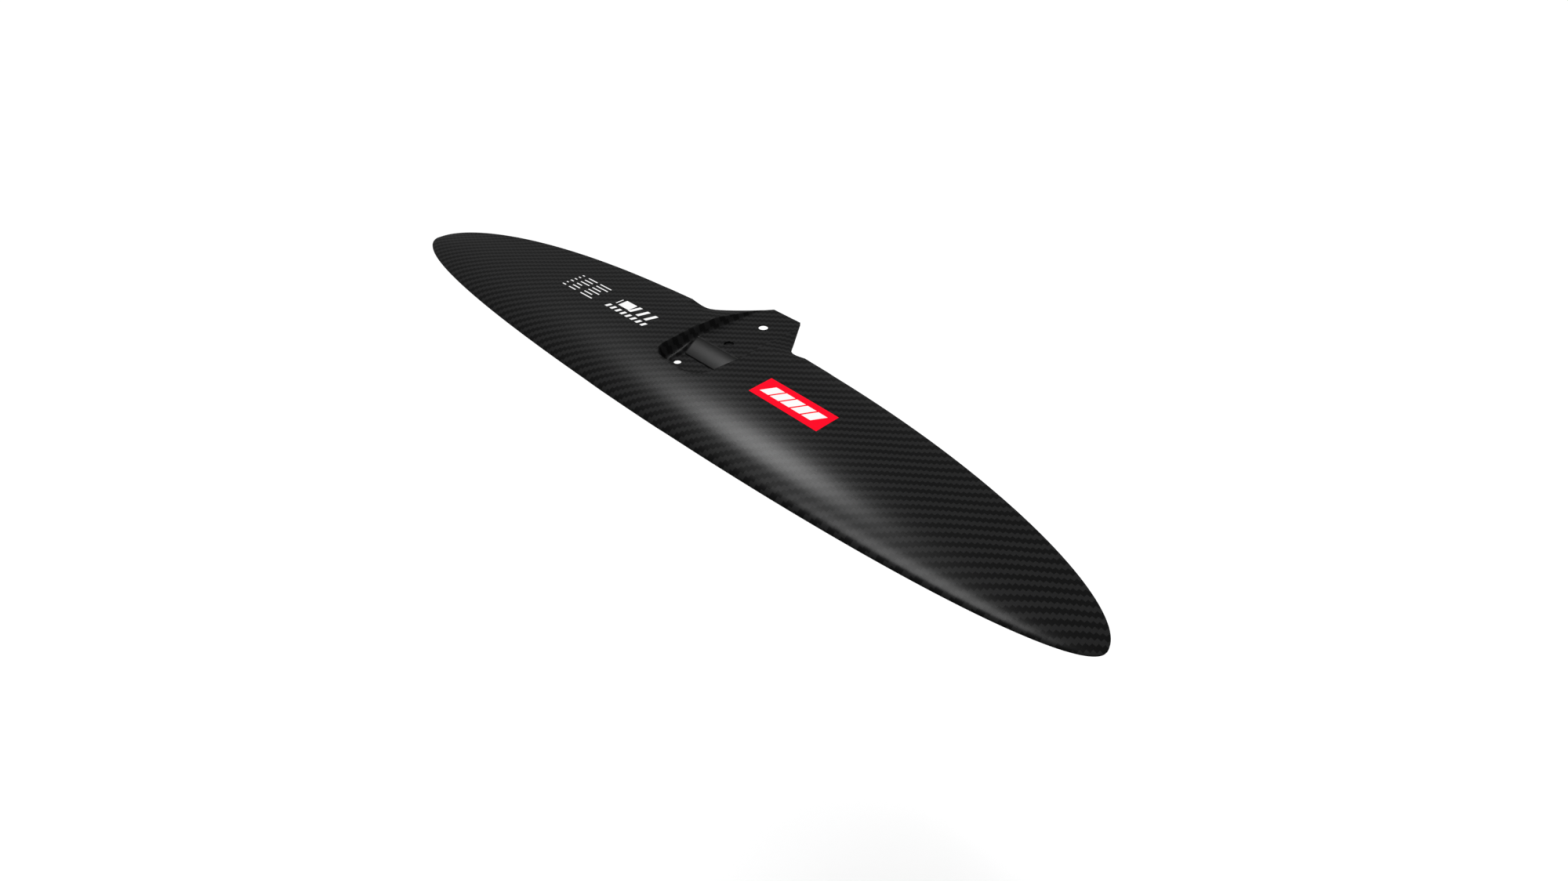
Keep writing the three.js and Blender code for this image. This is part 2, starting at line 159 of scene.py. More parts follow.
class WingPocket(bpy.types.PropertyGroup):
    """Pocket for the fuselage nose."""

    front: length("Front", -65.7 * MM, "Front wall at seat level")
    front_half: length("Front Half Width", 22.5 * MM, "Half width at the front")
    wide: length("Widest Place", -24.7 * MM, "Where the pocket is widest")
    wide_half: length("Widest Half Width", 24.7 * MM, "Half width there")
    rear: length("Rear", 34.3 * MM, "Rear place of known width")
    rear_half: length("Rear Half Width", 20 * MM, "Half width there")
    corner: length("Corner", 9 * MM, "Radius of the front corners")
    draft: plain("Draft", 0.43, "Widening of the walls for each unit of height")
    ledge_back: length("Ledge Back", -26.7 * MM, "Where the sloping ledge leaves the seat")
    ledge_slope: plain("Ledge Slope", 0.113, "Fall of the ledge towards the front")
    pad_depth: length("Pad Depth", 4.6 * MM, "Front pad below the seat")
    pad_half: length("Pad Half Width", 18 * MM, "Half width of the front pad")
    pad_front: length("Pad Front", -62 * MM, "Front end of the pad")
    pad_corner: length("Pad Corner", 7 * MM, "Radius of the pad's corners")
    pad_draft: plain("Pad Draft", 0.7, "Widening of the pad's walls")
    ramp_front: length("Ramp Front", -44.7 * MM, "Foot of the ramp")
    ramp_top: length("Ramp Top", -26.7 * MM, "Top of the ramp")
    ramp_half: length("Ramp Top Half Width", 23.5 * MM, "Half width at the top of the ramp")
    liner: length("Liner", 0.8 * MM, "Thickness of the pocket's lining")
    gap: length("Gap", 0.3 * MM, "Clearance between lining and shells")
    wall_foot: length("Wall Foot", 1.2 * MM, "Rounding at the foot of the walls")
    rim: length("Rim Rounding", 0.5 * MM, "Rounding of the rim")
    lip: length("Lip", 1.0 * MM, "Width of the lining's lip on the wing")
    crease: length("Crease", 0.35 * MM, "Rounding of the pad's edges")
    panel_edge: length("Panel Edge", 0.75 * MM, "Rise of the ramp panel's front edge above the pad")
    panel_inset: length("Panel Inset", 0.6 * MM, "Ramp panel short of the ramp's sides")
    panel_power: plain("Panel Power", 1.7, "Power of the ramp panel's curve")
    hub_flat: length("Hub Flat", 28 * MM, "Half width of the level underside")
    hub_reach: length("Hub Reach", 50 * MM, "Half width where the underside is the wing's own")
    hub_soft: length("Hub Softness", 2 * MM, "Softness of the hub's edge")


class WingScrews(bpy.types.PropertyGroup):
    """Screw places."""

    spacing: length("Spacing", 35 * MM, "Between the two on the centre line")
    radius: length("Radius", 3.6 * MM, "Radius of the centre holes")
    front_x: length("Front Offset", 12.7 * MM, "Front holes from the centre line")
    front_y: length("Front Place", -55.6 * MM, "Front holes along the chord")
    front_radius: length("Front Radius", 2.7 * MM, "Radius of the front holes")
    sink: length("Countersink", 1.5 * MM, "How much wider a countersink starts")
    chamfer: length("Chamfer", 0.25 * MM, "Broken edge of a hole")
    sides: IntProperty(name="Sides", description="Sides of a hole", default=72, min=12)


class WingFinish(bpy.types.PropertyGroup):
    """Colours and weave."""

    repeat: length("Weave Repeat", 9.58 * MM, "Length of one repeat of the twill")
    turn: FloatProperty(
        name="Weave Turn",
        description="Turn of the cloth about the vertical",
        default=math.radians(2.76),
        subtype="ANGLE",
    )
    # Chord tows: black carbon lightened by painted sheen, the glint of fibres running along the chord.
    # The dark tows are the plain carbon.
    chord_tow_sheen: colour("Chord Tow Sheen", (0.0152, 0.0152, 0.0154), "Tows that run along the chord")
    dark_tow: colour("Dark Tow", (0.0046, 0.0046, 0.0047), "Tows that run along the span")
    panel: colour("Panel", (0.006, 0.006, 0.006), "Smooth ramp panel")
    red: colour("Red", (1.0, 0.0, 0.0165), "Printed film")
    white: colour("White", (0.86, 0.86, 0.86), "Printed marks")
    foam: colour("Foam", (0.78, 0.70, 0.48), "Closed-cell foam")
    resin: colour("Filler", (0.03, 0.032, 0.036), "Filled resin")
    floor: colour("Floor", (0.93, 0.93, 0.93), "Studio floor")


class WingPrint(bpy.types.PropertyGroup):
    """Plain printed bars."""

    film: length("Film", 0.08 * MM, "Thickness of a printed film")
    bars: IntProperty(name="Rows", description="Rows of fine bars", default=6, min=1)
    seed: IntProperty(name="Seed", description="Seed of the bars' lengths", default=4)
    row_pitch: length("Row Pitch", 3.8 * MM, "From row to row")
    bar_height: length("Bar Height", 1.0 * MM, "Height of a fine bar")
    bar_short: length("Shortest Bar", 7 * MM, "Shortest fine bar")
    bar_long: length("Longest Bar", 15 * MM, "Longest fine bar")


GROUPS = {
    "wing_outline": WingOutline,
    "wing_tab": WingTab,
    "wing_pocket": WingPocket,
    "wing_screws": WingScrews,
    "wing_finish": WingFinish,
    "wing_print": WingPrint,
}


# ================================================================ shape of the wing
def smooth_max(a, b, softness):
    return (a + b + np.hypot(a - b, softness)) / 2


def smooth_min(a, b, softness):
    return (a + b - np.hypot(a - b, softness)) / 2


def smooth_step(value):
    share = np.clip(value, 0, 1)
    return share * share * (3 - 2 * share)


def rounded_distance(past_side, past_front, corner):
    """Distance outside a straight-sided outline whose front corners are round."""
    side, front = past_side + corner, past_front + corner
    inside = np.minimum(np.maximum(side, front), 0)
    return inside + np.hypot(np.maximum(side, 0), np.maximum(front, 0)) - corner


class Shape:
    """Heights and edges of the moulding, from the scene's sizes."""

    def __init__(self, scene):
        self.o, self.t, self.p = scene.wing_outline, scene.wing_tab, scene.wing_pocket

    def plan(self, x):
        share = np.abs(x) / self.o.half_span * self.o.tip_blunt
        return np.maximum(1 - share**self.o.plan_power, 0) ** (1 / self.o.plan_root)

    def lead(self, x):
        return self.o.tip_line - self.o.lead_depth * self.plan(x)

    def trail(self, x):
        return self.o.tip_line + self.o.trail_depth * self.plan(x)

    def rear(self, x):
        t, wide = self.t, np.abs(x)
        flare = t.end - t.flare * np.maximum(0, wide - t.half)
        softness = np.where(wide > t.half, t.blend, 0)
        return np.where(wide < t.clear, smooth_max(flare, self.trail(x), softness), self.trail(x))

    def mean(self, x, y):
        o = self.o
        return o.lift + o.pitch * y - o.droop * (np.abs(x) / o.half_span) ** o.droop_power

    def face(self, x, y, section):
        t = self.t
        lead = self.lead(x)
        chord = self.trail(x) - lead
        split = lead + t.split * chord
        wing = self.mean(x, y) + chord * section(np.clip((y - lead) / chord, 0, 1))
        fade = np.clip((np.abs(x) - t.half) / (t.reach - t.half), 0, 1) ** t.fade
        end = fade * self.mean(x, self.trail(x))
        start = self.mean(x, split) + chord * section(t.split)
        share = np.clip((y - split) / np.maximum(self.rear(x) - split, 1e-9), 0, 1)
        return np.where(y <= split, wing, end + (start - end) * (1 - share) ** t.fall)

    def crown(self, t):
        o = self.o
        return (1 - t) * (o.nose_round * np.sqrt(t) + o.crown_fill * t - o.crown_hollow * t**3)

    def belly(self, t):
        return -(1 - t) * (self.o.nose_round * np.sqrt(t) - self.o.belly_hollow * t)

    def pad_floor(self, y):
        p = self.p
        return -p.pad_depth * np.clip((p.ramp_top - y) / (p.ramp_top - p.ramp_front), 0, 1)

    def faces(self, x, y):
        """Upper face, lower face and parting surface, before the pocket is taken out."""
        o, p = self.o, self.p
        upper = self.face(x, y, self.crown)
        plain_face = self.face(x, y, self.belly)
        hub = self.pad_floor(y) - p.liner - p.gap - o.skin
        share = 1 - smooth_step((np.abs(x) - p.hub_flat) / (p.hub_reach - p.hub_flat))
        lowered = smooth_min(plain_face, hub, p.hub_soft)
        lower = plain_face + share * np.minimum(0, lowered - plain_face)
        along = np.clip((y - self.lead(x)) / (self.trail(x) - self.lead(x)), 0, 1)
        least = o.nose_edge + (o.edge - o.nose_edge) * smooth_step(along * 2 - 1)
        lower = np.minimum(lower, upper - least)
        return upper, lower, (upper + lower) / 2

    def pocket_half(self, y):
        p = self.p
        opening = p.front_half + (p.wide_half - p.front_half) * (y - p.front) / (p.wide - p.front)
        narrow = (p.wide_half - p.rear_half) / (p.rear - p.wide)
        return np.minimum(opening, p.wide_half - narrow * (y - p.wide))

    def pocket(self, x, y, grow=0.0):
        """Height of the pocket's own surface, its walls carried up beyond the rim."""
        p, wide = self.p, np.abs(x)
        past = rounded_distance(wide - self.pocket_half(y), p.front - y, p.corner) - grow
        floor = -p.ledge_slope * np.maximum(0, p.ledge_back - y)
        body = smooth_max(floor - grow, past / p.draft - grow, p.wall_foot)
        slope = p.pad_depth / (p.ramp_top - p.ramp_front)
        ramp = np.maximum(-p.pad_depth, slope * (y - p.ramp_top))
        share = np.clip((y - p.ramp_front) / (p.ramp_top - p.ramp_front), 0, 1)
        half = p.pad_half + (p.ramp_half - p.pad_half) * share
        off_pad = rounded_distance(wide - half, p.pad_front - y, p.pad_corner) - grow
        recess = smooth_max(ramp - grow, ramp - grow + off_pad / p.pad_draft, p.crease)
        return smooth_min(body, recess, p.crease)

    def upper(self, x, y):
        """The finished upper surface, with the pocket in it and its rim rounded."""
        wing = self.faces(x, y)[0]
        soft = self.p.rim * np.clip(wing / (3 * MM), 0, 1)
        return smooth_min(wing, self.pocket(x, y), soft)

    def rim_half(self, y):
        """Half width of the lining's lip; ahead of the pocket, the half width of its straight front."""
        p = self.p
        half = self.pocket_half(y)
        front = self.rim_front()
        for _ in range(8):
            height = np.maximum(self.faces(half, y)[0], 0)
            grow = p.draft * height + p.lip
            corner = p.corner + grow
            into = np.clip(1 - (y - front) / corner, 0, 1)
            half = self.pocket_half(y) + grow - corner + corner * np.sqrt(1 - into**2)
        return half

    def rim_front(self):
        p, y = self.p, self.p.front
        for _ in range(12):
            y = p.front - p.draft * float(self.faces(np.array(0.0), np.array(y))[0]) - p.lip
        return y


# ================================================================ grids and meshes
def spaced(knots):
    """Places from (start, step) knots to the last start, evenly between each two."""
    places = []
    for (start, step), (end, _) in zip(knots, knots[1:]):
        count = max(1, round((end - start) / step))
        places += [start + (end - start) * i / count for i in range(count)]
    return np.array(places + [knots[-1][0]])


class Grid:
    """Places over the whole plan. A column follows the lining's lip on each side, and a row its front."""

    def __init__(self, shape):
        self.shape = shape
        o, p, t = shape.o, shape.p, shape.t
        inner = spaced([(0, 0.04), (0.62, 0.0165), (1, 1)])
        outer = spaced([(0, 0.012), (0.06, 0.03), (0.24, 0.07), (1, 1)])
        steps = 56
        reach = o.half_span - t.reach
        tip = t.reach + reach * np.sin(np.arange(1, steps + 1) / steps * math.pi / 2)
        self.rim_column = len(inner) - 1
        kinds = [("in", g) for g in inner] + [("out", g) for g in outer[1:]]
        kinds += [("tip", x) for x in tip]
        mirrored = [(-1, kind) for kind in reversed(kinds[1:])]
        columns = mirrored + [(1, kind) for kind in kinds]
        self.middle = len(mirrored)
        front = shape.rim_front()
        start, end = front - 3 * MM, -10 * MM
        near = 1.5 * MM
        nose = (np.arange(0, 31) / 30) ** 2
        mid = spaced(
            [
                (start, 1 * MM),
                (front, 0.4 * MM),
                (p.pad_front + 2 * near, 1.2 * MM),
                (p.ramp_front - near, 0.4 * MM),
                (p.ramp_front + near, 1.2 * MM),
                (p.ramp_top - near, 0.5 * MM),
                (p.ramp_top + near, 1.2 * MM),
                (end, 1),
            ]
        )
        tail = spaced([(0, 0.028), (0.9, 0.02), (1, 1)])
        self.rim_row = len(nose) + int(np.argmin(np.abs(mid[1:] - front)))
        side = np.array([c[0] for c in columns], float)[None, :]
        value = np.array([c[1][1] for c in columns], float)[None, :]
        is_in = np.array([c[1][0] == "in" for c in columns])[None, :]
        is_tip = np.array([c[1][0] == "tip" for c in columns])[None, :]
        rows = [("nose", v) for v in nose] + [("mid", v) for v in mid[1:]]
        rows += [("tail", v) for v in tail[1:]]
        kind = np.array([r[0] for r in rows])[:, None]
        along = np.array([r[1] for r in rows], float)[:, None]
        shape_of_rows = np.where(kind == "mid", along, np.where(kind == "nose", start, end))
        y = np.broadcast_to(shape_of_rows, (len(rows), len(columns))).copy()
        full = shape.plan(np.array(t.reach))
        for _ in range(40):
            half = shape.rim_half(np.maximum(y, front))
            x = np.where(is_in, half * value, half + (t.reach - half) * value)
            x = side * np.where(is_tip, value, x)
            x = np.clip(x, -o.half_span, o.half_span)
            share = np.minimum(1, shape.plan(x) / full)
            a = o.tip_line + (start - o.tip_line) * share
            b = o.tip_line + (end - o.tip_line) * share
            lead, rear = shape.lead(x), shape.rear(x)
            placed = o.tip_line + (along - o.tip_line) * share
            y = np.where(kind == "nose", lead + (a - lead) * along, placed)
            y = np.where(kind == "tail", b + (rear - b) * along, y)
        self.x, self.y = x, y

    def cells(self, inside_pocket=None):
        """Which cells belong to a piece: all, the lining's, or the rest."""
        rows, columns = self.x.shape
        mask = np.ones((rows - 1, columns - 1), bool)
        if inside_pocket is None:
            return mask
        lining = np.zeros_like(mask)
        low, high = self.middle - self.rim_column, self.middle + self.rim_column
        lining[self.rim_row :, low:high] = True
        return lining if inside_pocket else ~lining


def closed_sheet(name, x, y, high, low, cells):
    """A closed body over the given cells of a grid, between two heights."""
    rows, columns = x.shape
    number = np.arange(rows * columns).reshape(rows, columns)
    under = rows * columns
    i, j = np.nonzero(cells)
    a, b = number[i, j], number[i, j + 1]
    c, d = number[i + 1, j + 1], number[i + 1, j]
    faces = [np.stack([a, b, c, d], 1), np.stack([a, d, c, b], 1) + under]
    wide = np.pad(cells, 1)
    for di, dj, start, end in ((-1, 0, a, b), (0, 1, b, c), (1, 0, c, d), (0, -1, d, a)):
        open_side = ~wide[i + 1 + di, j + 1 + dj]
        s, e = start[open_side], end[open_side]
        faces.append(np.stack([s, s + under, e + under, e], 1))
    points = np.concatenate([np.stack([x, y, z], -1).reshape(-1, 3) for z in (high, low)])
    return mesh_object(name, points, np.concatenate(faces))


def linked(name, points, faces):
    """A new object in the scene, from points and faces."""
    mesh = bpy.data.meshes.new(name)
    mesh.from_pydata(points, [], faces)
    piece = bpy.data.objects.new(name, mesh)
    bpy.context.scene.collection.objects.link(piece)
    return piece


def mesh_object(name, points, faces):
    """An object from arrays, without the points that no face uses."""
    used, compact = np.unique(faces, return_inverse=True)
    piece = linked(name, points[used].tolist(), compact.reshape(faces.shape).tolist())
    piece.data.validate()
    return piece


def shade(piece, degrees=35):
    """Smooth faces, with edges sharper than the angle kept crisp."""
    mesh = piece.data
    mesh.shade_smooth()
    mesh.set_sharp_from_angle(angle=math.radians(degrees))
    mesh.update()


def round_body(name, x, y, levels, sides):
    """A closed turned body on a vertical axis, from (height, radius) levels."""
    turn = np.arange(sides) / sides * 2 * math.pi
    points = [[x + r * math.cos(a), y + r * math.sin(a), z] for z, r in levels for a in turn]
    faces = []
    for level in range(len(levels) - 1):
        for k in range(sides):
            a, b = level * sides + k, level * sides + (k + 1) % sides
            faces.append([a, b, b + sides, a + sides])
    top = (len(levels) - 1) * sides
    faces.append(list(range(sides))[::-1])
    faces.append([top + k for k in range(sides)])
    return linked(name, points, faces)


def cut(piece, cutters):
    """Takes the cutters out of a piece and leaves a plain mesh."""
    for cutter in cutters:
        step = piece.modifiers.new("Cut", "BOOLEAN")
        step.operation = "DIFFERENCE"
        step.solver = "EXACT"
        step.object = cutter
    apply_modifiers(piece)
    for cutter in cutters:
        bpy.data.objects.remove(cutter)


def apply_modifiers(piece):
    """Leaves a piece as the plain mesh that its modifiers make."""
    bpy.context.view_layer.update()
    graph = bpy.context.evaluated_depsgraph_get()
    made = bpy.data.meshes.new_from_object(piece.evaluated_get(graph))
    made.name = piece.name
    piece.modifiers.clear()
    old, piece.data = piece.data, made
    bpy.data.meshes.remove(old)


def settle(piece, material, slot, *nodes):
    """Gives a piece its material and its body, and hides the CAD nodes it stands for; the slot is not
    used.
    """
    piece.data.materials.clear()
    piece.data.materials.append(material)
    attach(piece, "root")
    if nodes:
        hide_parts(*nodes)
    return piece


def screw_places(scene):
    s, p = scene.wing_screws, scene.wing_pocket
    half = s.spacing / 2
    return [
        (0, half, 0, s.radius, True),
        (0, -half, 0, s.radius, False),
        (-s.front_x, s.front_y, -p.pad_depth, s.front_radius, True),
        (s.front_x, s.front_y, -p.pad_depth, s.front_radius, True),
    ]


# ================================================================ materials
class Wire:
    """A socket that adds its Math nodes as it is used in an expression."""

    def __init__(self, nodes, socket):
        self.nodes, self.socket = nodes, socket

    def math(self, operation, *others):
        values = [self.socket] + [o.socket if isinstance(o, Wire) else o for o in others]
        node = self.nodes.make("ShaderNodeMath", {"operation": operation}, dict(enumerate(values)))
        return Wire(self.nodes, node.outputs[0])

    def __add__(self, other):
        return self.math("ADD", other)

    def __radd__(self, other):
        return self.math("ADD", other)

    def __sub__(self, other):
        return self.math("SUBTRACT", other)

    def __rsub__(self, other):
        return self.math("MULTIPLY", -1).math("ADD", other)

    def __mul__(self, other):
        return self.math("MULTIPLY", other)

    def __rmul__(self, other):
        return self.math("MULTIPLY", other)

    def __truediv__(self, other):
        return self.math("DIVIDE", other)

    def __abs__(self):
        return self.math("ABSOLUTE")

    def floor(self):
        return self.math("FLOOR")

    def fract(self):
        return self.math("FRACT")

    def wrap(self, high, low):
        return self.math("WRAP", high, low)

    def clamp(self):
        return self.math("MAXIMUM", 0).math("MINIMUM", 1)

    def step(self, low, high):
        """Smooth rise from 0 at low to 1 at high."""
        share = ((self - low) / (high - low)).clamp()
        return share * share * (3 - 2 * share)


class Nodes:
    """One material's node tree."""

    def __init__(self, name):
        self.material = bpy.data.materials.new(name)
        self.material.use_nodes = True
        self.tree = self.material.node_tree
        self.tree.nodes.clear()

    def make(self, kind, settings=None, inputs=None):
        node = self.tree.nodes.new(kind)
        for key, value in (settings or {}).items():
            setattr(node, key, value)
        for key, value in (inputs or {}).items():
            value = value.socket if isinstance(value, Wire) else value
            if isinstance(value, bpy.types.NodeSocket):
                self.tree.links.new(value, node.inputs[key])
            else:
                node.inputs[key].default_value = value
        return node

    def wire(self, node, output=0):
        return Wire(self, node.outputs[output])

    def place(self, turn=0.0, scale=(1, 1, 1)):
        """Object coordinates, turned about the vertical and scaled."""
        source = self.make("ShaderNodeTexCoord")
        mapping = self.make(
            "ShaderNodeMapping",
            {},
            {"Vector": source.outputs["Object"], "Rotation": (0, 0, turn), "Scale": scale},
        )
        return mapping.outputs[0]

    def noise(self, vector, scale, detail=2.0):
        inputs = {"Vector": vector, "Scale": scale, "Detail": detail}
        node = self.make("ShaderNodeTexNoise", {}, inputs)
        return self.wire(node, "Fac")

    def blend(self, factor, first, second):
        node = self.make("ShaderNodeMix", {"data_type": "RGBA"}, {0: factor, 6: first, 7: second})
        return node.outputs[2]

    def brighten(self, tint, amount):
        """A colour times a varying number."""
        grey = self.make("ShaderNodeCombineXYZ", {}, {0: amount, 1: amount, 2: amount})
        inputs = {0: tint, 1: grey.outputs[0]}
        node = self.make("ShaderNodeVectorMath", {"operation": "MULTIPLY"}, inputs)
        return node.outputs[0]

    def bump(self, height, strength, distance):
        inputs = {"Strength": strength, "Distance": distance, "Height": height}
        node = self.make("ShaderNodeBump", {}, inputs)
        return node.outputs[0]

    def finish(self, **sockets):
        names = {key.replace("_", " "): value for key, value in sockets.items()}
        shader = self.make("ShaderNodeBsdfPrincipled", {}, names)
        self.make("ShaderNodeOutputMaterial", {}, {"Surface": shader.outputs[0]})
        return self.material


def rgba(tint):
    return (*tint, 1.0)


def twill_material(scene):
    """Two-by-two twill of flat carbon tows under a satin clear coat. The chord tows' lighter colour is
    painted sheen, and the darker seams between tows are painted shade.
    """
    f = scene.wing_finish
    n = Nodes("carbon_twill")
    tows = 4 / f.repeat
    where = n.place(f.turn, (tows, tows, tows))
    split = n.make("ShaderNodeSeparateXYZ", {}, {0: where})
    u, v = n.wire(split, 0), n.wire(split, 1)
    sway = (n.noise(where, 0.35, 1.0) - 0.5) * 0.22
    u, v = u + sway, v - sway
    chord_float = abs((u.floor() - v).wrap(2, -2))
    span_float = abs((u - v.floor() - 3).wrap(2, -2))
    over = 1 - chord_float.step(0.9, 1.06)
    crown_u = 1 - (u.fract() * 2 - 1).math("POWER", 2)
    crown_v = 1 - (v.fract() * 2 - 1).math("POWER", 2)
    chord_height = crown_u.math("POWER", 0.5) * (1 - chord_float * chord_float * 0.35).clamp()
    span_height = crown_v.math("POWER", 0.5) * (1 - span_float * span_float * 0.35).clamp()
    height = over * chord_height + (1 - over) * span_height
    fine = 9.0
    along_chord = n.noise(n.place(f.turn, (tows * fine, tows * 0.35, tows)), 1.0, 3.0)
    along_span = n.noise(n.place(f.turn, (tows * 0.35, tows * fine, tows)), 1.0, 3.0)
    fibre = over * along_chord + (1 - over) * along_span
    # Painted shade: the colour darkens towards the seams between tows, where the tows' crowns fall away.
    seam_shade = height.step(0.05, 0.55)
    cloud = n.noise(where, 0.09, 2.0)
    bright = 0.78 + fibre * 0.24 + seam_shade * 0.10 + cloud * 0.14 - 0.12
    # Chord tows take the lighter colour: painted sheen.
    tint = n.blend(over, rgba(f.dark_tow), rgba(f.chord_tow_sheen))
    roughness = 0.46 + (fibre - 0.5) * 0.10 + (cloud - 0.5) * 0.08
    return n.finish(
        Base_Color=n.brighten(tint, bright),
        Roughness=roughness,
        Specular_IOR_Level=0.0,
        Normal=n.bump(height + fibre * 0.12, 0.22, 0.12 * MM),
        Coat_Weight=0.43,
        Coat_Roughness=0.27,
        Coat_IOR=1.36,
    )


def panel_material(scene):
    """Smooth satin panel with faint moulding lines."""
    f = scene.wing_finish
    n = Nodes("smooth_panel")
    grain = n.noise(n.place(0, (90, 900, 900)), 1.0, 3.0)
    cloud = n.noise(n.place(), 60.0, 2.0)
    bright = 0.86 + grain * 0.10 + cloud * 0.18
    return n.finish(
        Base_Color=n.brighten(f.panel, bright),
        Roughness=0.30 + (cloud - 0.5) * 0.06 + (grain - 0.5) * 0.03,
        IOR=1.19,
        Normal=n.bump(grain, 0.05, 0.05 * MM),
    )


def film_material(scene, name, tint):
    """Printed film: a little orange peel, roughness that wanders slightly."""
    n = Nodes(name)
    peel = n.noise(n.place(), 1400.0, 2.0)
    cloud = n.noise(n.place(), 55.0, 2.0)
    return n.finish(
        Base_Color=n.brighten(tint, 0.965 + cloud * 0.06),
        Roughness=0.62 + (cloud - 0.5) * 0.06,
        Specular_IOR_Level=0.04,
        Normal=n.bump(peel, 0.04, 0.02 * MM),
    )


def foam_material(scene):
    n = Nodes("cell_foam")
    cells = n.make("ShaderNodeTexVoronoi", {}, {"Vector": n.place(), "Scale": 1600.0})
    wall = n.wire(cells, "Distance")
    return n.finish(
        Base_Color=n.brighten(scene.wing_finish.foam, 0.80 + wall * 0.30),
        Roughness=0.9,
        Normal=n.bump(wall, 0.4, 0.2 * MM),
    )


def resin_material(scene):
    n = Nodes("filled_resin")
    speck = n.noise(n.place(), 2200.0, 3.0)
    return n.finish(
        Base_Color=n.brighten(scene.wing_finish.resin, 0.7 + speck * 0.6),
        Roughness=0.55 + (speck - 0.5) * 0.2,
        Normal=n.bump(speck, 0.1, 0.05 * MM),
    )


def laminate_material(scene):
    """Bare laminate whose fibres all run along the span."""
    f = scene.wing_finish
    n = Nodes("bare_laminate")
    fibre = n.noise(n.place(0, (40, 2600, 2600)), 1.0, 4.0)
    return n.finish(
        # Takes the chord tows' colour, painted sheen included.
        Base_Color=n.brighten(f.chord_tow_sheen, 0.45 + fibre * 0.5),
        Roughness=0.45 + (fibre - 0.5) * 0.2,
        Normal=n.bump(fibre, 0.2, 0.05 * MM),
    )


MAKERS = {
    "carbon_twill": twill_material,
    "smooth_panel": panel_material,
    "red_film": lambda scene: film_material(scene, "red_film", scene.wing_finish.red),
    "white_film": lambda scene: film_material(scene, "white_film", scene.wing_finish.white),
    "cell_foam": foam_material,
    "filled_resin": resin_material,
    "bare_laminate": laminate_material,
}


def finish_of(name):
    found = bpy.data.materials.get(name)
    return found or MAKERS[name](bpy.context.scene)


# ================================================================ operators
class WingOperator:
    bl_options = {"REGISTER", "UNDO"}

    @staticmethod
    def shape_and_grid():
        scene = bpy.context.scene
        shape = Shape(scene)
        return scene, shape, Grid(shape)


class WING_OT_upper_shell(WingOperator, bpy.types.Operator):
    """Upper shell, with an opening where the pocket's lining sits"""

    bl_idname = "wing.upper_shell"
    bl_label = "Upper Shell"

    def execute(self, context):
        scene, shape, grid = self.shape_and_grid()
        o = scene.wing_outline
        high = shape.upper(grid.x, grid.y)
        middle = shape.faces(grid.x, grid.y)[2]
        low = np.maximum(high - o.skin, middle + o.seam / 2)
        low = np.minimum(low, high - o.seam / 2)
        for edge in (np.s_[0, :], np.s_[-1, :], np.s_[:, 0], np.s_[:, -1]):
            low[edge] = np.minimum(middle[edge] + o.seam / 2, high[edge] - o.seam / 2)
        piece = closed_sheet("upper_shell", grid.x, grid.y, high, low, grid.cells(False))
        shade(piece)
        settle(piece, finish_of("carbon_twill"), "twill", "top_skin")
        return {"FINISHED"}


class WING_OT_lower_shell(WingOperator, bpy.types.Operator):
    """Lower shell, with its level hub and the countersinks"""

    bl_idname = "wing.lower_shell"
    bl_label = "Lower Shell"

    def execute(self, context):
        scene, shape, grid = self.shape_and_grid()
        o, p, s = scene.wing_outline, scene.wing_pocket, scene.wing_screws
        _, low, middle = shape.faces(grid.x, grid.y)
        high = np.minimum(low + o.skin, middle - o.seam / 2)
        for edge in (np.s_[0, :], np.s_[-1, :], np.s_[:, 0], np.s_[:, -1]):
            high[edge] = middle[edge] - o.seam / 2
        under_lining = shape.pocket(grid.x, grid.y, p.liner) - o.seam
        high = np.maximum(np.minimum(high, under_lining), low + o.seam)
        piece = closed_sheet("lower_shell", grid.x, grid.y, high, low, grid.cells())
        cutters = []
        for x, y, seat, radius, through in screw_places(scene):
            if through:
                top = seat - p.liner - p.gap / 2
                depth = p.gap + 2 * o.skin
                start = radius + s.sink
                levels = [(top - depth, start + depth), (top, start), (top + depth, start)]
                cutters.append(round_body("cutter", x, y, levels, s.sides))
        cut(piece, cutters)
        shade(piece)
        lower = [f"bottom_skin_{place}" for place in ("left", "middle", "right")]
        settle(piece, finish_of("carbon_twill"), "twill", *lower)
        return {"FINISHED"}


class WING_OT_pocket_lining(WingOperator, bpy.types.Operator):
    """Lining of the pocket: seat, ledge, ramp, pad, walls and screw holes"""

    bl_idname = "wing.pocket_lining"
    bl_label = "Pocket Lining"

    def execute(self, context):
        scene, shape, grid = self.shape_and_grid()
        p, s = scene.wing_pocket, scene.wing_screws
        high = shape.upper(grid.x, grid.y)
        low = np.minimum(high - p.liner, shape.pocket(grid.x, grid.y, p.liner))
        piece = closed_sheet("pocket_lining", grid.x, grid.y, high, low, grid.cells(True))
        cutters = []
        for x, y, seat, radius, _ in screw_places(scene):
            over, under = seat + 2 * MM, seat - 2 * p.liner
            edge = seat - s.chamfer
            levels = [(under, radius), (edge, radius), (over, radius + s.chamfer + 2 * MM)]
            cutters.append(round_body("cutter", x, y, levels, s.sides))
        cut(piece, cutters)
        shade(piece)
        settle(piece, finish_of("carbon_twill"), "twill", "pocket_liner")
        return {"FINISHED"}


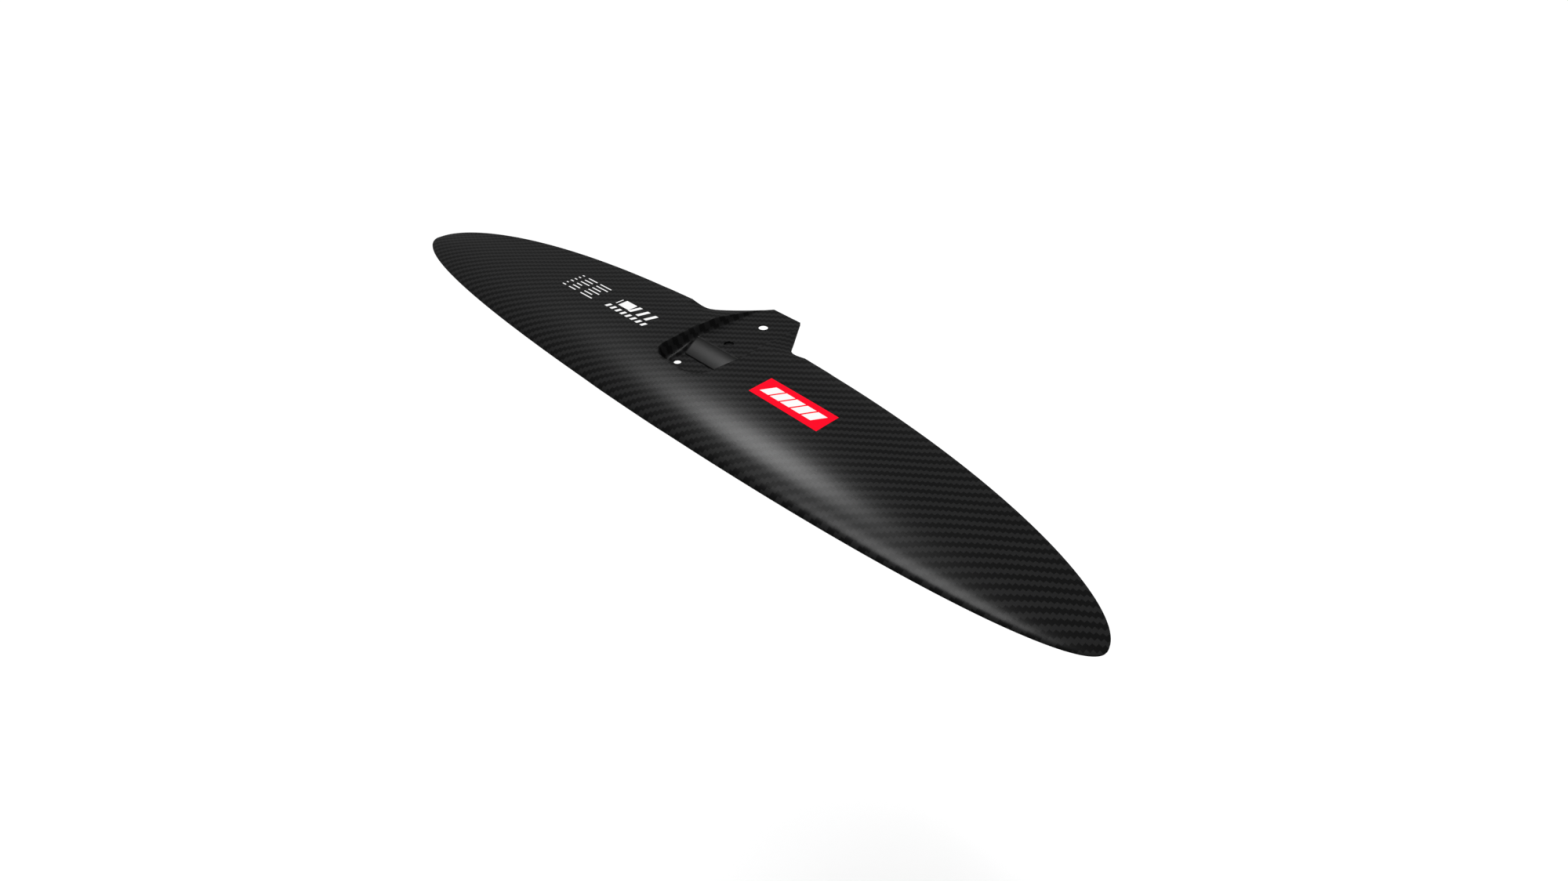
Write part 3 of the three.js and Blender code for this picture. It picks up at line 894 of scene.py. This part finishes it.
class WING_OT_ramp_panel(WingOperator, bpy.types.Operator):
    """Smooth panel on the ramp, with softened edges"""

    bl_idname = "wing.ramp_panel"
    bl_label = "Ramp Panel"

    def execute(self, context):
        p = context.scene.wing_pocket
        front, back = p.ramp_front, p.ramp_top - 0.25 * MM
        slope = p.pad_depth / (p.ramp_top - p.ramp_front)
        across, along = np.linspace(-1, 1, 41), np.linspace(0, 1, 33)
        y = np.broadcast_to(front + (back - front) * along[:, None], (33, 41))
        half = p.pad_half + (p.ramp_half - p.pad_half) * along[:, None] - p.panel_inset
        x = half * across[None, :]
        under = 0.05 * MM - slope * (p.ramp_top - y)
        top = 0.05 * MM - (p.pad_depth - p.panel_edge) * (1 - along[:, None]) ** p.panel_power + 0 * x
        piece = closed_sheet("ramp_panel", x, y, top, under, np.ones((32, 40), bool))
        bevel = piece.modifiers.new("Edge", "BEVEL")
        bevel.width, bevel.segments, bevel.limit_method = 0.12 * MM, 3, "ANGLE"
        apply_modifiers(piece)
        shade(piece, 50)
        settle(piece, finish_of("smooth_panel"), "smooth", "ramp_pad")
        return {"FINISHED"}


LAY_INPUTS = {
    "Surface": "NodeSocketObject",
    "Lift": "NodeSocketFloat",
    "Finish": "NodeSocketMaterial",
}


def lay_tree():
    """Geometry nodes that lay flat pieces on the wing's upper surface, and their inputs' identifiers."""
    tree = bpy.data.node_groups.new("lay_on_wing", "GeometryNodeTree")
    face = tree.interface
    face.new_socket("Geometry", in_out="INPUT", socket_type="NodeSocketGeometry")
    inputs = {
        label: face.new_socket(label, in_out="INPUT", socket_type=kind).identifier
        for label, kind in LAY_INPUTS.items()
    }
    face.new_socket("Geometry", in_out="OUTPUT", socket_type="NodeSocketGeometry")
    make, link = tree.nodes.new, tree.links.new
    enter, leave = make("NodeGroupInput"), make("NodeGroupOutput")
    surface = make("GeometryNodeObjectInfo")
    surface.transform_space = "ORIGINAL"
    link(enter.outputs["Surface"], surface.inputs["Object"])

    # A ray straight down from high above each point finds the wing.
    spot, parts = make("GeometryNodeInputPosition"), make("ShaderNodeSeparateXYZ")
    start = make("ShaderNodeCombineXYZ")
    link(spot.outputs[0], parts.inputs[0])
    link(parts.outputs[0], start.inputs[0])
    link(parts.outputs[1], start.inputs[1])
    start.inputs[2].default_value = 0.1
    cast = make("GeometryNodeRaycast")
    cast.inputs["Ray Direction"].default_value = (0, 0, -1)
    cast.inputs["Ray Length"].default_value = 0.3
    link(surface.outputs["Geometry"], cast.inputs["Target Geometry"])
    link(start.outputs[0], cast.inputs["Source Position"])

    # The point keeps its own height above the surface, plus the lift.
    hit, height = make("ShaderNodeSeparateXYZ"), make("ShaderNodeMath")
    link(cast.outputs["Hit Position"], hit.inputs[0])
    link(hit.outputs[2], height.inputs[0])
    link(enter.outputs["Lift"], height.inputs[1])
    total, rise = make("ShaderNodeMath"), make("ShaderNodeCombineXYZ")
    link(height.outputs[0], total.inputs[0])
    link(parts.outputs[2], total.inputs[1])
    link(parts.outputs[0], rise.inputs[0])
    link(parts.outputs[1], rise.inputs[1])
    link(total.outputs[0], rise.inputs[2])
    move, real = make("GeometryNodeSetPosition"), make("GeometryNodeRealizeInstances")
    paint = make("GeometryNodeSetMaterial")
    link(enter.outputs["Geometry"], move.inputs["Geometry"])
    link(rise.outputs[0], move.inputs["Position"])
    link(move.outputs[0], real.inputs[0])
    link(real.outputs[0], paint.inputs["Geometry"])
    link(enter.outputs["Finish"], paint.inputs["Material"])
    link(paint.outputs[0], leave.inputs[0])
    return tree, inputs


def lay_on_wing(piece, material, lift=0.02 * MM):
    """Lays a piece on the upper shell and leaves a plain mesh."""
    tree, inputs = lay_tree()
    step = piece.modifiers.new("Lay", "NODES")
    step.node_group = tree
    step[inputs["Surface"]] = bpy.data.objects["upper_shell"]
    step[inputs["Lift"]] = lift
    step[inputs["Finish"]] = material
    apply_modifiers(piece)
    bpy.data.node_groups.remove(tree)


def flat_patches(name, patches, thick, step=1.5 * MM):
    """Flat closed patches: (x from, x to, y from, y to, slant), cut fine enough to bend with the wing."""
    points, faces, count = [], [], 0
    for x0, x1, y0, y1, slant in patches:
        nx, ny = max(2, round((x1 - x0) / step)), max(1, round((y1 - y0) / step))
        x = np.linspace(x0, x1, nx + 1)[None, :] + np.zeros((ny + 1, 1))
        y = np.linspace(y0, y1, ny + 1)[:, None] + np.zeros((1, nx + 1))
        x = x + slant * (y - (y0 + y1) / 2)
        whole = np.ones((ny, nx), bool)
        piece = closed_sheet("patch", x, y, np.full_like(x, thick), np.zeros_like(x), whole)
        points += [tuple(vertex.co) for vertex in piece.data.vertices]
        faces += [[count + k for k in polygon.vertices] for polygon in piece.data.polygons]
        count = len(points)
        bpy.data.objects.remove(piece)
    return linked(name, points, faces)


class WING_OT_decal(WingOperator, bpy.types.Operator):
    """Red printed film with plain slanted white blocks"""

    bl_idname = "wing.decal"
    bl_label = "Decal"

    def execute(self, context):
        film = context.scene.wing_print.film
        low, high = FILM_LOW, FILM_HIGH
        panel = flat_patches("decal_film", [(low.x, high.x, low.y, high.y, 0)], film)
        lay_on_wing(panel, finish_of("red_film"))
        shade(panel)
        settle(panel, finish_of("red_film"), "decal_red", "decal_panel")
        blocks, inset, margin, space, slant = 5, 7.5 * MM, 5.5 * MM, 1.6 * MM, 0.55
        start, end = low.x + inset, high.x - inset
        wide = (end - start - space * (blocks - 1)) / blocks
        rows = (low.y + margin, high.y - margin)
        starts = [start + k * (wide + space) for k in range(blocks)]
        patches = [(x, x + wide, *rows, slant) for x in starts]
        mark = flat_patches("decal_blocks", patches, film)
        lay_on_wing(mark, finish_of("white_film"), 0.02 * MM + film)
        shade(mark)
        settle(mark, finish_of("white_film"), "decal_white", "decal_mark")
        return {"FINISHED"}


class WING_OT_print_bars(WingOperator, bpy.types.Operator):
    """Plain white bars in place of printed lines"""

    bl_idname = "wing.print_bars"
    bl_label = "Print Bars"

    def execute(self, context):
        w = context.scene.wing_print
        pick = np.random.default_rng(w.seed)
        patches = []
        for row in range(w.bars):
            y = FINE_BARS_FRONT + row * w.row_pitch
            for start, share in FINE_BARS:
                reach = share * (w.bar_short + (w.bar_long - w.bar_short) * pick.random())
                patches.append((start * MM, start * MM + reach, y, y + w.bar_height, 0))
        for count, start, pitch, wide, y0, y1 in BOLD_BARS:
            slant = BOLD_SLANT if count > 1 else 0.0
            for k in range(count):
                x = start + k * pitch
                patches.append((x * MM, (x + wide) * MM, y0 * MM, y1 * MM, slant))
        piece = flat_patches("print_bars", patches, w.film)
        lay_on_wing(piece, finish_of("white_film"))
        shade(piece)
        settle(piece, finish_of("white_film"), "decal_white")
        return {"FINISHED"}


class WING_OT_inner_pieces(WingOperator, bpy.types.Operator):
    """Finishes of the pieces inside the wing"""

    bl_idname = "wing.inner_pieces"
    bl_label = "Inner Pieces"

    def execute(self, context):
        for name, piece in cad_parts.items():
            if piece.hide_render:
                continue
            kind = "bare_laminate"
            if "core" in name:
                kind = "cell_foam"
            if "filler" in name:
                kind = "filled_resin"
            piece.data.materials.clear()
            piece.data.materials.append(finish_of(kind))
        return {"FINISHED"}


class WING_OT_stage(WingOperator, bpy.types.Operator):
    """Pale floor, soft lights and the camera"""

    bl_idname = "wing.stage"
    bl_label = "Stage"

    def execute(self, context):
        scene = context.scene
        self.add_floor(scene)
        self.add_camera(scene)
        self.add_light(scene, "key_light", *KEY_LIGHT)
        self.add_light(scene, "top_light", *TOP_LIGHT)
        world = bpy.data.worlds.new("studio")
        world.use_nodes = True
        back = world.node_tree.nodes["Background"]
        back.inputs["Color"].default_value = (1, 1, 1, 1)
        back.inputs["Strength"].default_value = WORLD_STRENGTH
        scene.world = world
        scene.view_settings.view_transform = "Standard"
        return {"FINISHED"}

    @staticmethod
    def add_floor(scene):
        half, z = FLOOR_HALF, CAD_LOW.z - FLOOR_DROP
        points = np.array([(-half, -half, z), (half, -half, z), (half, half, z), (-half, half, z)])
        floor = mesh_object("floor", points, np.array([[0, 1, 2, 3]]))
        n = Nodes("studio_floor")
        grain = n.noise(n.place(), 3.0, 2.0)
        pale = n.brighten(scene.wing_finish.floor, 0.995 + grain * 0.01)
        material = n.finish(Base_Color=pale, Roughness=0.9, IOR=1.2)
        floor.data.materials.append(material)
        floor.visible_diffuse = floor.visible_glossy = False

    @staticmethod
    def add_camera(scene):
        angles = CAMERA_AZIMUTH, CAMERA_ELEVATION, CAMERA_ROLL
        azimuth, elevation, roll = (math.radians(angle) for angle in angles)
        ca, sa, ce, se = math.cos(azimuth), math.sin(azimuth), math.cos(elevation), math.sin(elevation)
        level = Vector((ca, sa, 0))
        rise = Vector((-sa * se, ca * se, ce))
        forward = Vector((-sa * ce, ca * ce, -se))
        right = math.cos(roll) * level - math.sin(roll) * rise
        up = math.sin(roll) * level + math.cos(roll) * rise
        lens = bpy.data.cameras.new("camera")
        lens.sensor_width, lens.lens = CAMERA_SENSOR, CAMERA_LENS
        lens.clip_start, lens.clip_end = CAMERA_CLIP
        camera = bpy.data.objects.new("camera", lens)
        scene.collection.objects.link(camera)
        turn = Matrix((right, up, -forward)).transposed()
        camera.matrix_world = Matrix.Translation(Vector(CAMERA_PLACE) * MM) @ turn.to_4x4()
        scene.camera = camera

    @staticmethod
    def add_light(scene, name, direction, degrees, strength):
        """A wide, even source far away in that direction."""
        lamp = bpy.data.lights.new(name, "SUN")
        lamp.angle, lamp.energy = math.radians(degrees), strength
        light = bpy.data.objects.new(name, lamp)
        scene.collection.objects.link(light)
        away = Vector(direction).normalized()
        light.location = away
        light.rotation_mode = "QUATERNION"
        light.rotation_quaternion = away.to_track_quat("Z", "Y")


OPERATORS = (
    WING_OT_stage,
    WING_OT_upper_shell,
    WING_OT_lower_shell,
    WING_OT_pocket_lining,
    WING_OT_ramp_panel,
    WING_OT_decal,
    WING_OT_print_bars,
    WING_OT_inner_pieces,
)


class WING_PT_panel(bpy.types.Panel):
    """Lists the wing's pieces in the sidebar"""

    bl_idname = "WING_PT_panel"
    bl_label = "Front Wing"
    bl_space_type = "VIEW_3D"
    bl_region_type = "UI"
    bl_category = "Wing"

    def draw(self, context):
        for operator in OPERATORS:
            self.layout.operator(operator.bl_idname)


CLASSES = (*GROUPS.values(), *OPERATORS, WING_PT_panel)


def register():
    for kind in CLASSES:
        bpy.utils.register_class(kind)
    for name, kind in GROUPS.items():
        setattr(bpy.types.Scene, name, PointerProperty(type=kind))


def unregister():
    for name in GROUPS:
        delattr(bpy.types.Scene, name)
    for kind in reversed(CLASSES):
        bpy.utils.unregister_class(kind)


def main():
    register()
    for operator in OPERATORS:
        group, name = operator.bl_idname.split(".")
        getattr(getattr(bpy.ops, group), name)()


if __name__ == "__main__":
    main()
